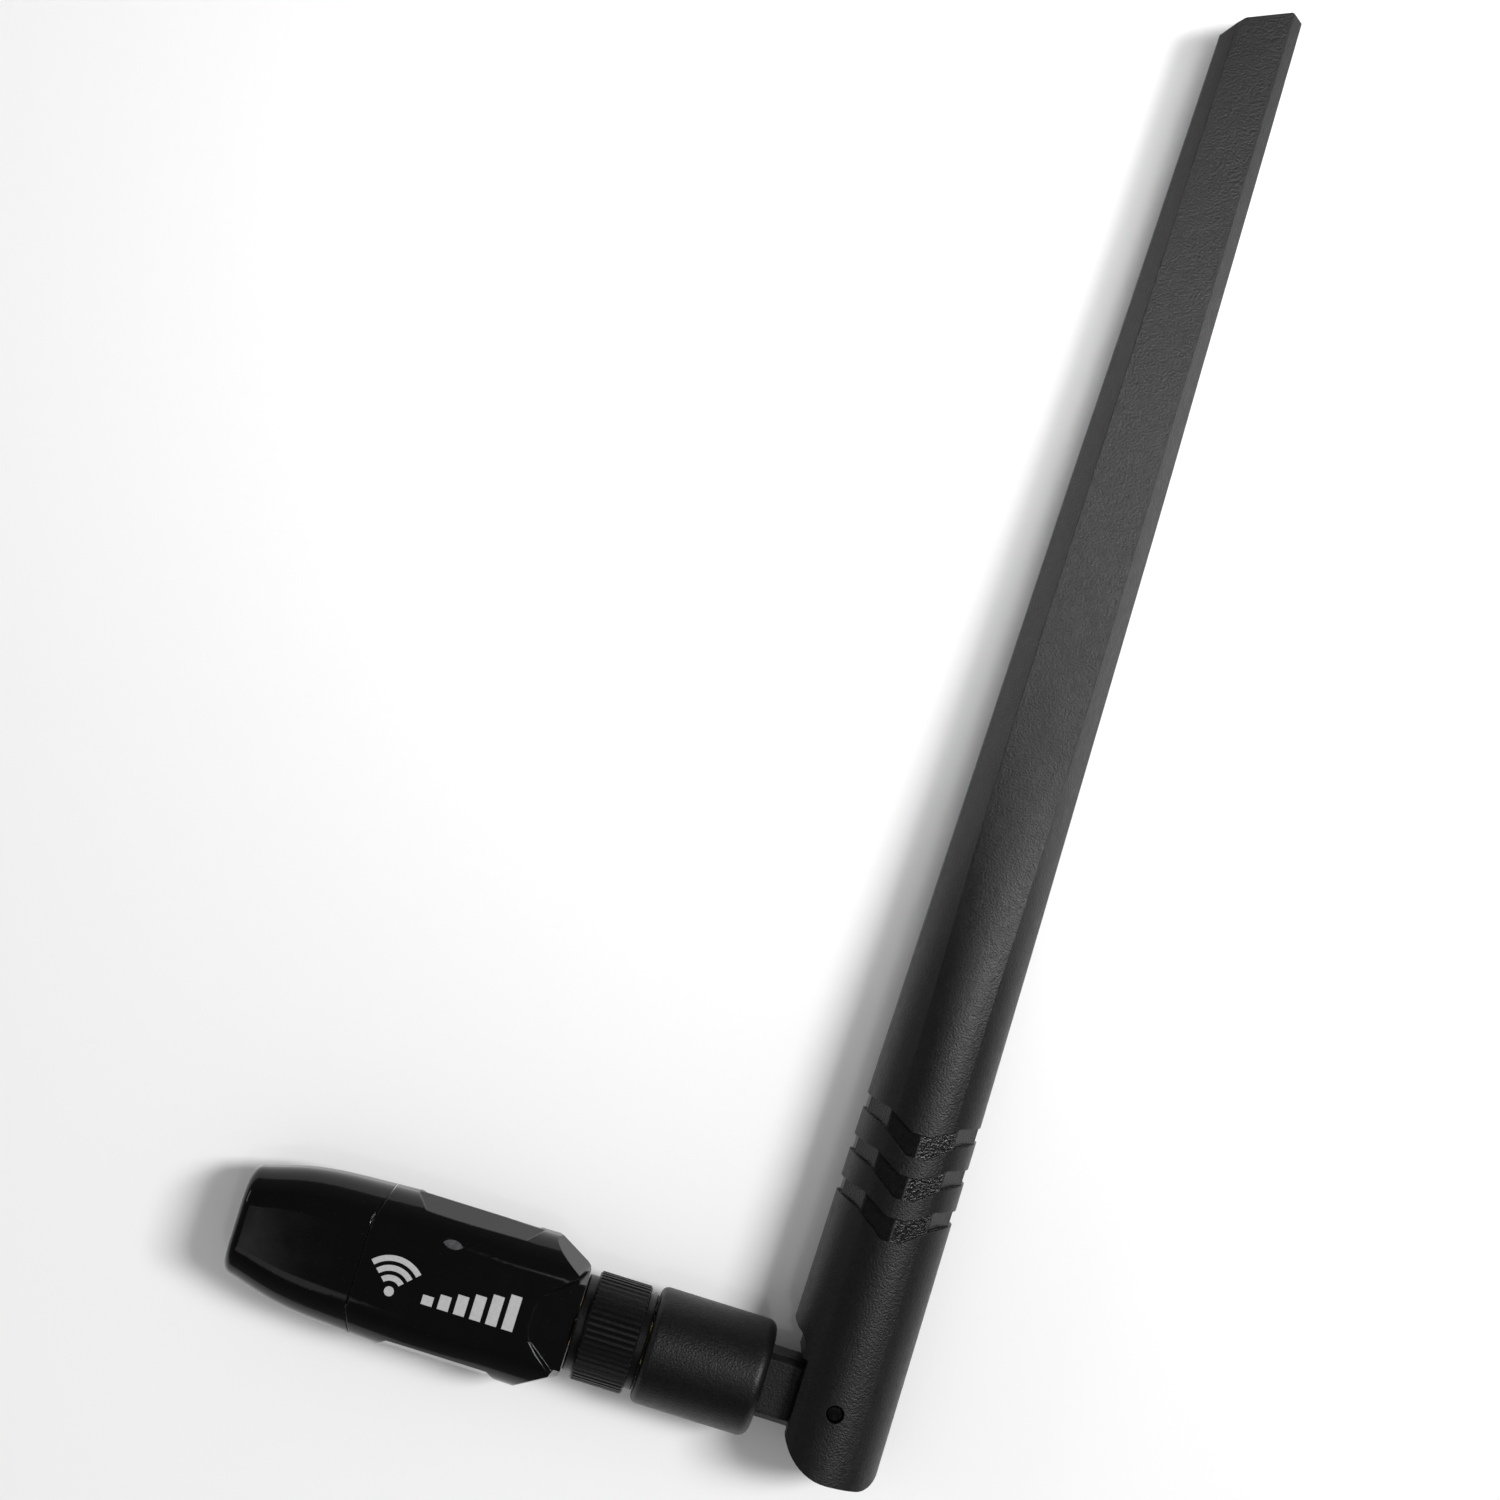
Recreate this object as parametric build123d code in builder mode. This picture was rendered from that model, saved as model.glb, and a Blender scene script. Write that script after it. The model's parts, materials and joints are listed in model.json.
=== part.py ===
from build123d import *
import math
import os

# USB WiFi adapter: a capped stick, a knurled coupling nut, a swivel and a folding antenna.
# Millimetres. X runs along the stick towards the antenna, Y along the antenna, Z up.
# The origin is on the plug's axis, in the plane of the cap's open end.

os.makedirs("parts", exist_ok=True)

# ---- stick ------------------------------------------------------------------------------
# x of each cross-section, its half width and its half height
STICK_STATIONS = [
    (-15.3, 6.7, 4.75),
    (-11.9, 7.6, 5.15),
    (-6.7, 8.8, 5.65),
    (0.0, 9.35, 6.08),
    (6.0, 9.68, 6.2),
    (13.5, 9.78, 6.2),
    (20.7, 9.62, 6.2),
    (28.0, 9.05, 6.15),
]
CORNER_SHARE = 0.88  # radius of the rounded long edges, as a share of the half height
STICK_REAR = 28.0
STICK_WALL = 1.2
UNDERSIDE = -6.1  # flat underside of the body
CAP_END_RADIUS = 1.3

SEAM_MIDDLE = 0.8  # x of the straight middle of the seam between cap and body
SEAM_MIDDLE_HALF = 5.8
SEAM_SLOPE = 1.3 / 4.0
SEAM_GAP = 0.12

REAR_CORNER = [(24.2, 9.35), (27.4, 7.5), (28.0, 6.6)]  # cut-off rear corners, in plan
REAR_CORNER_DRAFT = 12
RAMP_FRONT = 22.7
RAMP_FRONT_HALF = 2.9
RAMP_FRONT_BOW = 0.8
RAMP_REAR_HALF = 6.5
RAMP_DROP = 1.0
RAMP_WALL_SLOPE = 50

FACET_INNER = (8.4, 4.16)  # y and z of the side facet's inner edge
FACET_OUTER = (9.6, 0.3)
FACET_CENTRE_X = 13.0
FACET_INNER_HALF = 6.45
FACET_OUTER_HALF = 8.1
FACET_END_SLOPE = 40

LIGHT_X = 11.1
LIGHT_Y = 5.6
LIGHT_LENGTH = 2.5
LIGHT_WIDTH = 1.1

# ---- USB plug and board -----------------------------------------------------------------
PLUG_WIDTH = 12.0
PLUG_HEIGHT = 4.5
PLUG_SHEET = 0.3
PLUG_TIP = -13.8
PLUG_BACK = 4.4
PLUG_CLEARANCE = 0.1
TONGUE_HALF = 5.6
TONGUE_TOP = -0.15
CONTACT_Y = [-3.5, -1.0, 1.0, 3.5]
CONTACT_WIDTH = 1.0
CONTACT_SHEET = 0.25

BOARD_TOP = -0.5
BOARD_THICKNESS = 1.0
BOARD_FRONT = 5.2
BOARD_REAR = 25.6
BOARD_HALF = 7.4
BOARD_STEP = 22.0  # the board narrows here
BOARD_REAR_HALF = 5.9
CAVITY_FRONT = 2.2
CAVITY_STEP = 23.6
CAVITY_REAR = 26.7

# ---- jack and nut -----------------------------------------------------------------------
THREAD_PITCH = 25.4 / 36
THREAD_MAJOR = 3.17
THREAD_MINOR = 2.86
THREAD_CLEARANCE = 0.06
JACK_FLANGE = 25.6
JACK_THREAD_START = 28.6
JACK_END = 35.4
JACK_PLANE = 33.5  # where the two dielectrics meet
JACK_BORE = 2.3
DIELECTRIC = 2.06
CONTACT = 0.46

NUT_START = 28.1
NUT_KNURL_START = 29.3
NUT_KNURL_END = 36.0
NUT_END = 37.0
NUT_COLLAR = 6.05
NUT_KNURL = 6.85
NUT_TEETH = 54
NUT_TOOTH_DEPTH = 0.24
INSERT_RADIUS = 4.7

# ---- connector and swivel ---------------------------------------------------------------
FERRULE = 2.7
FERRULE_NOSE = 2.25
FERRULE_COLLAR = 3.1
FERRULE_END = 44.4
COAX = 0.9
RUNNING_CLEARANCE = 0.08

SLEEVE_START = 37.15
SLEEVE_END = 52.15
SLEEVE_RADIUS = 7.35
SLEEVE_BORE = 6.1
SLEEVE_END_WALL = 1.2
BUSH_END = 42.0
KNUCKLE_START = 46.0
TONGUE_HEIGHT = 8.1  # across, along Y
TONGUE_THICKNESS = 7.0  # along Z
TONGUE_CHAMFER = 0.7

# ---- antenna ----------------------------------------------------------------------------
PIN_X = 61.35
PIN_RADIUS = 1.1
PIN_CLEARANCE = 0.05
PIN_RECESS = 0.55
PIN_INNER = 1.6
EAR_CLEARANCE = 0.15
SWING_CLEARANCE = 0.2

# y, half width, half thickness, half width of the flat front, half height of the side
# edge, and roundness: 1 is a circle, 0 a sharp-edged eight-sided blade
ANTENNA_STATIONS = [
    (-9.6, 7.77, 7.77, 3.885, 1.349, 1.0),
    (38.0, 7.27, 7.27, 3.635, 1.262, 1.0),
    (46.0, 7.17, 7.04, 3.64, 1.2, 0.93),
    (52.0, 7.08, 6.68, 3.68, 1.1, 0.8),
    (58.0, 6.98, 6.22, 3.77, 0.98, 0.61),
    (66.0, 6.84, 5.76, 3.93, 0.85, 0.4),
    (77.0, 6.63, 5.32, 4.08, 0.7, 0.18),
    (92.0, 6.37, 4.9, 4.1, 0.55, 0.05),
    (117.0, 5.92, 4.35, 3.8, 0.5, 0.0),
    (136.0, 5.45, 3.85, 3.6, 0.5, 0.0),
    (156.0, 5.05, 3.1, 3.4, 0.5, 0.0),
    (182.0, 4.5, 2.35, 3.15, 0.5, 0.0),
]
LOFT_SPANS = 24  # equal spans, so that the surface stays even
BLADE_CROWN = 0.03
ANTENNA_WALL = 1.3
CAVITY_START = 12.0
CAVITY_END = 174.0
BASE_END = -8.65
BASE_CORNER = 2.4
BASE_ARC = 7.1
BASE_ARC_X = 1.5
EAR_RECESS = -4.9  # x of the ears' inner edge, from the pin
NOTCH_RECESS = -5.7
NOTCH_Y = 4.9
TOP_OUTLINE = [(-4.6, 175.2), (-2.4, 177.6), (2.9, 179.9), (4.6, 179.4)]

GROOVE_APEXES = [23.3, 28.6, 33.9]
GROOVE_HALF = 1.42
GROOVE_SIDE_HALF = 0.85
GROOVE_RISE = [(1.2, 0.0), (4.6, 2.2), (8.2, 3.1)]
GROOVE_FLOOR = 7.22  # corner radius of the ten-sided groove floor

ANTENNA_BOARD_START = 30.0
ANTENNA_BOARD_END = 170.0
ANTENNA_BOARD_HALF = 2.9
ANTENNA_BOARD_THICKNESS = 0.8


def finish(builder, label):
    """Labels a finished piece and writes its STEP file."""
    builder.part.label = label
    export_step(builder.part, f"parts/{label}.step")


def block(x_range, y_range, z_range):
    """A rectangular block between the given limits."""
    with BuildPart() as piece:
        with BuildSketch(Plane.XY.offset(z_range[0])):
            with Locations((sum(x_range) / 2, sum(y_range) / 2)):
                Rectangle(x_range[1] - x_range[0], y_range[1] - y_range[0])
        extrude(amount=z_range[1] - z_range[0])
    return piece.part


def ring(x_start, x_end, outer, inner=0.0):
    """A round ring or rod about the X axis."""
    with BuildPart() as piece:
        with BuildSketch(Plane.YZ.offset(x_start)):
            Circle(outer)
            if inner:
                Circle(inner, mode=Mode.SUBTRACT)
        extrude(amount=x_end - x_start)
    return piece.part


def turned(profile):
    """A piece turned about the X axis from a closed profile of (x, radius) points."""
    with BuildPart() as piece:
        with BuildSketch(Plane.XY):
            Polygon(*profile, align=None)
        revolve(axis=Axis.X)
    return piece.part


def thread_profile(x_start, x_end, root, crest):
    """Points (x, radius) of a V thread's edge from x_start to x_end."""
    turns = int((x_end - x_start) / THREAD_PITCH)
    points = []
    for turn in range(turns):
        x = x_start + turn * THREAD_PITCH
        points.append((x, root))
        points.append((x + THREAD_PITCH * 0.45, crest))
        points.append((x + THREAD_PITCH * 0.55, crest))
    points.append((x_start + turns * THREAD_PITCH, root))
    return points


# ---- shared forms of the stick ----------------------------------------------------------
def stick_form(inset=0.0, stations=STICK_STATIONS):
    """Loft through the stick's rounded cross-sections, shrunk by the inset."""
    with BuildPart() as form:
        for x, half_width, half_height in stations:
            with BuildSketch(Plane.YZ.offset(x)):
                RectangleRounded(
                    2 * (half_width - inset),
                    2 * (half_height - inset),
                    CORNER_SHARE * half_height - inset,
                )
        loft()
    return form.part


def seam_side(cap_side):
    """Everything on one side of the seam between cap and body."""
    shift = -SEAM_GAP / 2 if cap_side else SEAM_GAP / 2
    reach = 12.0
    middle = SEAM_MIDDLE + shift
    wing = middle + (reach - SEAM_MIDDLE_HALF) * SEAM_SLOPE
    far = -20.0 if cap_side else 32.0
    with BuildPart() as side:
        with BuildSketch(Plane.XY):
            Polygon(
                (far, -reach),
                (wing, -reach),
                (middle, -SEAM_MIDDLE_HALF),
                (middle, SEAM_MIDDLE_HALF),
                (wing, reach),
                (far, reach),
                align=None,
            )
        extrude(amount=10, both=True)
    return side.part


def side_facets():
    """Wedges that cut the flat facets into the stick's long edges."""
    rise = FACET_INNER[1] - FACET_OUTER[1]
    run = FACET_OUTER[0] - FACET_INNER[0]
    width = math.hypot(rise, run)
    margin = 0.7
    taper_x = (FACET_OUTER_HALF - FACET_INNER_HALF) / width
    inner = FACET_INNER_HALF - taper_x * margin
    outer = FACET_OUTER_HALF + taper_x * margin
    facet = Plane(
        origin=(FACET_CENTRE_X, FACET_INNER[0], FACET_INNER[1]),
        x_dir=(1, 0, 0),
        z_dir=(0, rise, run),
    )
    with BuildPart() as wedges:
        with BuildSketch(facet):
            Polygon(
                (-inner, -margin),
                (inner, -margin),
                (outer, width + margin),
                (-outer, width + margin),
                align=None,
            )
        extrude(amount=2, taper=-FACET_END_SLOPE)
        mirror(about=Plane.XZ)
        mirror(about=Plane.XY)
    return wedges.part


def rear_ramp():
    """The shallow ramp cut into the top of the stick towards the nut."""
    length = STICK_REAR - RAMP_FRONT
    top = STICK_STATIONS[-1][2] + 0.05
    slope = Plane(
        origin=(RAMP_FRONT, 0, top), x_dir=(length, 0, -RAMP_DROP), z_dir=(RAMP_DROP, 0, length)
    )
    with BuildPart() as ramp:
        with BuildSketch(slope):
            with BuildLine():
                ThreePointArc(
                    (RAMP_FRONT_BOW, -RAMP_FRONT_HALF),
                    (0, 0),
                    (RAMP_FRONT_BOW, RAMP_FRONT_HALF),
                )
                Polyline(
                    (RAMP_FRONT_BOW, RAMP_FRONT_HALF),
                    (length + 0.2, RAMP_REAR_HALF),
                    (length + 2, RAMP_REAR_HALF),
                    (length + 2, -RAMP_REAR_HALF),
                    (length + 0.2, -RAMP_REAR_HALF),
                    (RAMP_FRONT_BOW, -RAMP_FRONT_HALF),
                )
            make_face()
        extrude(amount=2.5, taper=-RAMP_WALL_SLOPE)
    return ramp.part


def rear_corners():
    """Prisms that cut the body's two rear corners off, leaning inwards above and below."""
    (x1, y1), (x2, y2), (x3, y3) = REAR_CORNER
    knee = ((x2 + x3) / 2 + 0.12, (y2 + y3) / 2 + 0.07)
    with BuildPart() as corners:
        with BuildSketch(Plane.XY):
            Polygon(
                (x1 - 3.6, y1 + 2.0),
                (x2, y2),
                knee,
                (x3, y3),
                (x3 + 8, y3),
                (x3 + 8, y1 + 8),
                (x1 - 3.6, y1 + 8),
                align=None,
            )
        extrude(amount=7, taper=-REAR_CORNER_DRAFT)
        mirror(about=Plane.XZ)
        mirror(about=Plane.XY)
    return corners.part


def light_outline(z_start, z_end):
    """The pointed outline of the status light, as a solid."""
    front = (LIGHT_X - LIGHT_LENGTH / 2, LIGHT_Y)
    rear = (LIGHT_X + LIGHT_LENGTH / 2, LIGHT_Y)
    with BuildPart() as piece:
        with BuildSketch(Plane.XY.offset(z_start)):
            with BuildLine():
                ThreePointArc(front, (LIGHT_X, LIGHT_Y + LIGHT_WIDTH / 2), rear)
                ThreePointArc(rear, (LIGHT_X, LIGHT_Y - LIGHT_WIDTH / 2), front)
            make_face()
        extrude(amount=z_end - z_start)
    return piece.part


# ---- cap --------------------------------------------------------------------------------
outer_form = stick_form()
plug_pocket = block(
    (PLUG_TIP - 0.5, 4),
    (-PLUG_WIDTH / 2 - PLUG_CLEARANCE, PLUG_WIDTH / 2 + PLUG_CLEARANCE),
    (-PLUG_HEIGHT / 2 - PLUG_CLEARANCE, PLUG_HEIGHT / 2 + PLUG_CLEARANCE),
)
cap_mouth = stick_form(STICK_WALL, STICK_STATIONS[2:5])
mouth_limit = block((-1.6, 4), (-12, 12), (-8, 8))
with BuildPart() as cap:
    add(outer_form)
    add(seam_side(True), mode=Mode.INTERSECT)
    fillet(cap.faces().sort_by(Axis.X)[0].edges(), CAP_END_RADIUS)
    add(plug_pocket, mode=Mode.SUBTRACT)
with BuildPart() as mouth_recess:
    add(cap_mouth)
    add(mouth_limit, mode=Mode.INTERSECT)
with BuildPart() as cap_piece:
    add(cap.part)
    add(mouth_recess.part, mode=Mode.SUBTRACT)
finish(cap_piece, "cap")

# ---- body shells ------------------------------------------------------------------------
cavity_stations = [
    (CAVITY_FRONT, 9.45, 6.12),
    (6.0, 9.68, 6.2),
    (13.5, 9.78, 6.2),
    (CAVITY_STEP, 9.45, 6.1),
]
front_cavity = stick_form(STICK_WALL, cavity_stations)
rear_cavity = block((CAVITY_STEP - 1, CAVITY_REAR), (-6.2, 6.2), (UNDERSIDE + STICK_WALL, 4.1))
plug_opening = block(
    (-1, 6),
    (-PLUG_WIDTH / 2, PLUG_WIDTH / 2),
    (-PLUG_HEIGHT / 2, PLUG_HEIGHT / 2),
)
with BuildPart() as body_form:
    add(outer_form)
    add(seam_side(False), mode=Mode.INTERSECT)
    add(block((-20, 32), (-14, 14), (-12, UNDERSIDE)), mode=Mode.SUBTRACT)
    add(side_facets(), mode=Mode.SUBTRACT)
    add(rear_ramp(), mode=Mode.SUBTRACT)
    add(rear_corners(), mode=Mode.SUBTRACT)
    add(front_cavity, mode=Mode.SUBTRACT)
    add(rear_cavity, mode=Mode.SUBTRACT)
    add(plug_opening, mode=Mode.SUBTRACT)
    add(ring(CAVITY_REAR - 1, STICK_REAR + 2, THREAD_MAJOR), mode=Mode.SUBTRACT)
    add(light_outline(0, 8), mode=Mode.SUBTRACT)

rib_x = [8.5, 21.5]
with BuildPart() as top_shell:
    add(body_form.part)
    split(bisect_by=Plane.XY, keep=Keep.TOP)
finish(top_shell, "top_shell")

with BuildPart() as bottom_shell:
    add(body_form.part)
    split(bisect_by=Plane.XY, keep=Keep.BOTTOM)
    for x in rib_x:
        add(block((x - 0.5, x + 0.5), (-7, 7), (UNDERSIDE + 0.6, BOARD_TOP - BOARD_THICKNESS)))
finish(bottom_shell, "bottom_shell")

with BuildPart() as light_pipe:
    add(outer_form)
    add(light_outline(0.9, 8), mode=Mode.INTERSECT)
finish(light_pipe, "light_pipe")

# ---- USB plug ---------------------------------------------------------------------------
with BuildPart() as usb_shell:
    with BuildSketch(Plane.YZ.offset(PLUG_TIP)):
        RectangleRounded(PLUG_WIDTH, PLUG_HEIGHT, 0.4)
        RectangleRounded(PLUG_WIDTH - 2 * PLUG_SHEET, PLUG_HEIGHT - 2 * PLUG_SHEET, 0.2, mode=Mode.SUBTRACT)
    extrude(amount=PLUG_BACK - PLUG_TIP)
    with BuildSketch(Plane.XY):
        with Locations((PLUG_TIP + 6.3, 0)):
            with GridLocations(1, 5.0, 1, 2):
                Rectangle(2.5, 2.2)
    extrude(amount=PLUG_HEIGHT, both=True, mode=Mode.SUBTRACT)
finish(usb_shell, "usb_shell")

contact_bottom = TONGUE_TOP
contact_top = TONGUE_TOP + CONTACT_SHEET
tail_x = BOARD_FRONT + 0.9
contact_strips = []
for y in CONTACT_Y:
    half = CONTACT_WIDTH / 2
    with BuildPart() as strip:
        add(block((PLUG_TIP + 1.4, tail_x), (y - half, y + half), (contact_bottom, contact_top)))
        add(block((tail_x - 0.25, tail_x), (y - half, y + half), (BOARD_TOP, contact_top)))
        add(block((tail_x - 0.25, tail_x + 1.0), (y - half, y + half), (BOARD_TOP, BOARD_TOP + 0.25)))
    contact_strips.append(strip.part)

window_depth = PLUG_HEIGHT / 2 - PLUG_SHEET
with BuildPart() as usb_insulator:
    add(block((PLUG_TIP + 0.3, 0.6), (-TONGUE_HALF, TONGUE_HALF), (-window_depth, TONGUE_TOP)))
    add(block((0.6, 5.0), (-TONGUE_HALF, TONGUE_HALF), (-window_depth, window_depth)))
    add(block((PLUG_TIP + 1.2, 5.1), (-0.1, 0.1), (-0.4, TONGUE_TOP)), mode=Mode.SUBTRACT)
    for strip_part in contact_strips:
        add(strip_part, mode=Mode.SUBTRACT)
finish(usb_insulator, "usb_insulator")

with BuildPart() as usb_contacts:
    for strip_part in contact_strips:
        add(strip_part)
finish(usb_contacts, "usb_contacts")

# ---- board and its parts ----------------------------------------------------------------
board_bottom = BOARD_TOP - BOARD_THICKNESS
with BuildPart() as circuit_board:
    with BuildSketch(Plane.XY.offset(board_bottom)):
        with Locations(((BOARD_FRONT + BOARD_STEP) / 2, 0)):
            Rectangle(BOARD_STEP - BOARD_FRONT, 2 * BOARD_HALF)
        with Locations(((BOARD_STEP + BOARD_REAR) / 2, 0)):
            Rectangle(BOARD_REAR - BOARD_STEP, 2 * BOARD_REAR_HALF)
    extrude(amount=BOARD_THICKNESS)
    fillet(circuit_board.edges().filter_by(Axis.Z), 0.6)
finish(circuit_board, "circuit_board")

CAN_X = (12.8, 21.8)
CAN_Y = (-5.2, 4.8)
CAN_HEIGHT = 1.7
CAN_SHEET = 0.2
with BuildPart() as shield_can:
    add(block(CAN_X, CAN_Y, (BOARD_TOP, BOARD_TOP + CAN_HEIGHT)))
    fillet(shield_can.edges().filter_by(Axis.Z), 0.5)
    fillet(shield_can.faces().sort_by(Axis.Z)[-1].edges(), 0.25)
    add(
        block(
            (CAN_X[0] + CAN_SHEET, CAN_X[1] - CAN_SHEET),
            (CAN_Y[0] + CAN_SHEET, CAN_Y[1] - CAN_SHEET),
            (BOARD_TOP, BOARD_TOP + CAN_HEIGHT - CAN_SHEET),
        ),
        mode=Mode.SUBTRACT,
    )
finish(shield_can, "shield_can")


def mounted(label, centre, size, rounding=0.1):
    """A component of the given size standing on the board at centre."""
    half_x = size[0] / 2
    half_y = size[1] / 2
    with BuildPart() as piece:
        add(
            block(
                (centre[0] - half_x, centre[0] + half_x),
                (centre[1] - half_y, centre[1] + half_y),
                (BOARD_TOP, BOARD_TOP + size[2]),
            )
        )
        fillet(piece.faces().sort_by(Axis.Z)[-1].edges(), rounding)
    finish(piece, label)


mounted("wifi_chip", (17.3, 0), (6.0, 6.0, 0.85))
mounted("crystal", (10.6, -1.0), (3.2, 2.5, 0.7))
mounted("voltage_regulator", (9.8, -5.2), (2.9, 1.6, 1.1))
mounted("power_inductor", (9.2, 2.9), (3.0, 3.0, 1.2), 0.3)
mounted("status_led", (LIGHT_X, LIGHT_Y), (1.6, 0.8, 0.6))

PASSIVE_PLACES = [
    (7.9, -2.4),
    (7.9, -3.3),
    (7.6, 5.6),
    (9.0, 5.6),
    (11.9, -3.4),
    (23.2, -5.0),
    (23.2, 5.0),
    (22.9, -3.7),
]
with BuildPart() as passives:
    with BuildSketch(Plane.XY.offset(BOARD_TOP)):
        with Locations(*PASSIVE_PLACES):
            Rectangle(1.0, 0.5)
    extrude(amount=0.45)
finish(passives, "passives")

# ---- antenna jack -----------------------------------------------------------------------
jack_thread = thread_profile(JACK_THREAD_START, JACK_END, THREAD_MINOR, THREAD_MAJOR)
jack_profile = [
    (JACK_FLANGE, DIELECTRIC),
    (JACK_PLANE, DIELECTRIC),
    (JACK_PLANE, JACK_BORE),
    (JACK_END, JACK_BORE),
    (JACK_END, THREAD_MINOR - 0.05),
    *reversed(jack_thread),
    (JACK_THREAD_START, THREAD_MAJOR),
    (JACK_FLANGE, THREAD_MAJOR),
]
LEG_FRONT = 22.4
LEG_Y = (2.0, 2.9)
with BuildPart() as antenna_jack:
    add(turned(jack_profile))
    with BuildSketch(Plane.YZ.offset(JACK_FLANGE)):
        RectangleRounded(8.0, 7.8, 0.6)
        Circle(DIELECTRIC, mode=Mode.SUBTRACT)
    extrude(amount=CAVITY_REAR - JACK_FLANGE)
    for side in (-1, 1):
        leg_y = sorted((side * LEG_Y[0], side * LEG_Y[1]))
        add(block((LEG_FRONT, JACK_FLANGE), leg_y, (BOARD_TOP, BOARD_TOP + 0.9)))
        add(block((LEG_FRONT, JACK_FLANGE), leg_y, (board_bottom - 0.9, board_bottom)))
finish(antenna_jack, "antenna_jack")

with BuildPart() as jack_insulator:
    add(ring(JACK_FLANGE, JACK_PLANE, DIELECTRIC, CONTACT))
finish(jack_insulator, "jack_insulator")

CONTACT_TIP = 34.9
contact_profile = [
    (22.8, 0),
    (22.8, CONTACT),
    (CONTACT_TIP - 0.4, CONTACT),
    (CONTACT_TIP, CONTACT * 0.5),
    (CONTACT_TIP, 0),
]
with BuildPart() as jack_contact:
    add(turned(contact_profile))
finish(jack_contact, "jack_contact")

# ---- coupling nut -----------------------------------------------------------------------
knurl_points = []
for tooth in range(NUT_TEETH):
    for share, radius in (
        (0.0, NUT_KNURL - NUT_TOOTH_DEPTH),
        (0.3, NUT_KNURL),
        (0.7, NUT_KNURL),
    ):
        angle = 2 * math.pi * (tooth + share) / NUT_TEETH
        knurl_points.append((radius * math.cos(angle), radius * math.sin(angle)))

knurl_bevel = 0.3
bevelled_band = turned(
    [
        (NUT_KNURL_START, 0),
        (NUT_KNURL_START, NUT_KNURL - knurl_bevel),
        (NUT_KNURL_START + knurl_bevel, NUT_KNURL + 0.05),
        (NUT_KNURL_END - knurl_bevel, NUT_KNURL + 0.05),
        (NUT_KNURL_END, NUT_KNURL - knurl_bevel),
        (NUT_KNURL_END, 0),
    ]
)
with BuildPart() as knurled_band:
    with BuildSketch(Plane.YZ.offset(NUT_KNURL_START)):
        Polygon(*knurl_points, align=None)
    extrude(amount=NUT_KNURL_END - NUT_KNURL_START)
    add(bevelled_band, mode=Mode.INTERSECT)

collar_bevel = 0.2
collar_band = turned(
    [
        (NUT_START, INSERT_RADIUS),
        (NUT_START, NUT_COLLAR - collar_bevel),
        (NUT_START + collar_bevel, NUT_COLLAR),
        (NUT_END - collar_bevel, NUT_COLLAR),
        (NUT_END, NUT_COLLAR - collar_bevel),
        (NUT_END, INSERT_RADIUS),
    ]
)
with BuildPart() as nut_grip:
    add(knurled_band.part)
    add(collar_band)
    add(ring(NUT_START - 1, NUT_END + 1, INSERT_RADIUS), mode=Mode.SUBTRACT)
finish(nut_grip, "nut_grip")

crest = THREAD_MAJOR + THREAD_CLEARANCE
insert_start = NUT_START + 0.3
insert_thread = thread_profile(insert_start + 0.5, JACK_END, crest + 0.28, crest)
wall_start = 36.08
ring_groove = (36.32, 36.7)
wall_bore = FERRULE + RUNNING_CLEARANCE
insert_profile = [
    (insert_start, crest + 0.35),
    *insert_thread,
    (wall_start, crest + 0.28),
    (wall_start, wall_bore),
    (ring_groove[0], wall_bore),
    (ring_groove[0], FERRULE_COLLAR + 0.03),
    (ring_groove[1], FERRULE_COLLAR + 0.03),
    (ring_groove[1], wall_bore),
    (NUT_END, wall_bore),
    (NUT_END, INSERT_RADIUS),
    (insert_start, INSERT_RADIUS),
]
with BuildPart() as nut_insert:
    add(turned(insert_profile))
finish(nut_insert, "nut_insert")

# ---- connector held by the nut ----------------------------------------------------------
NOSE_START = JACK_PLANE + 0.05
COLLAR_START = 35.65
COLLAR_END = 36.0
DIELECTRIC_END = 39.5
PLUG_DIELECTRIC = 1.95
SNAP_GROOVE = (36.35, 36.67)
CLIP_GROOVE = (42.5, 42.95)
GROOVE_RADIUS = 2.38
ferrule_profile = [
    (NOSE_START, PLUG_DIELECTRIC),
    (DIELECTRIC_END, PLUG_DIELECTRIC),
    (DIELECTRIC_END, COAX + 0.1),
    (FERRULE_END, COAX + 0.1),
    (FERRULE_END, FERRULE - 0.2),
    (FERRULE_END - 0.2, FERRULE),
    (CLIP_GROOVE[1], FERRULE),
    (CLIP_GROOVE[1], GROOVE_RADIUS),
    (CLIP_GROOVE[0], GROOVE_RADIUS),
    (CLIP_GROOVE[0], FERRULE),
    (SNAP_GROOVE[1], FERRULE),
    (SNAP_GROOVE[1], GROOVE_RADIUS),
    (SNAP_GROOVE[0], GROOVE_RADIUS),
    (SNAP_GROOVE[0], FERRULE),
    (COLLAR_END, FERRULE),
    (COLLAR_END, FERRULE_COLLAR),
    (COLLAR_START, FERRULE_COLLAR),
    (COLLAR_START, FERRULE_NOSE),
    (NOSE_START, FERRULE_NOSE),
]
with BuildPart() as ferrule:
    add(turned(ferrule_profile))
finish(ferrule, "ferrule")

SOCKET_RADIUS = 0.75
with BuildPart() as ferrule_insulator:
    add(ring(NOSE_START + 0.02, DIELECTRIC_END, PLUG_DIELECTRIC, SOCKET_RADIUS))
finish(ferrule_insulator, "ferrule_insulator")

socket_end = CONTACT_TIP + 0.6
with BuildPart() as ferrule_contact:
    add(ring(NOSE_START + 0.02, socket_end, SOCKET_RADIUS, CONTACT + 0.04))
    add(ring(socket_end, DIELECTRIC_END, SOCKET_RADIUS))
finish(ferrule_contact, "ferrule_contact")

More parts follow.
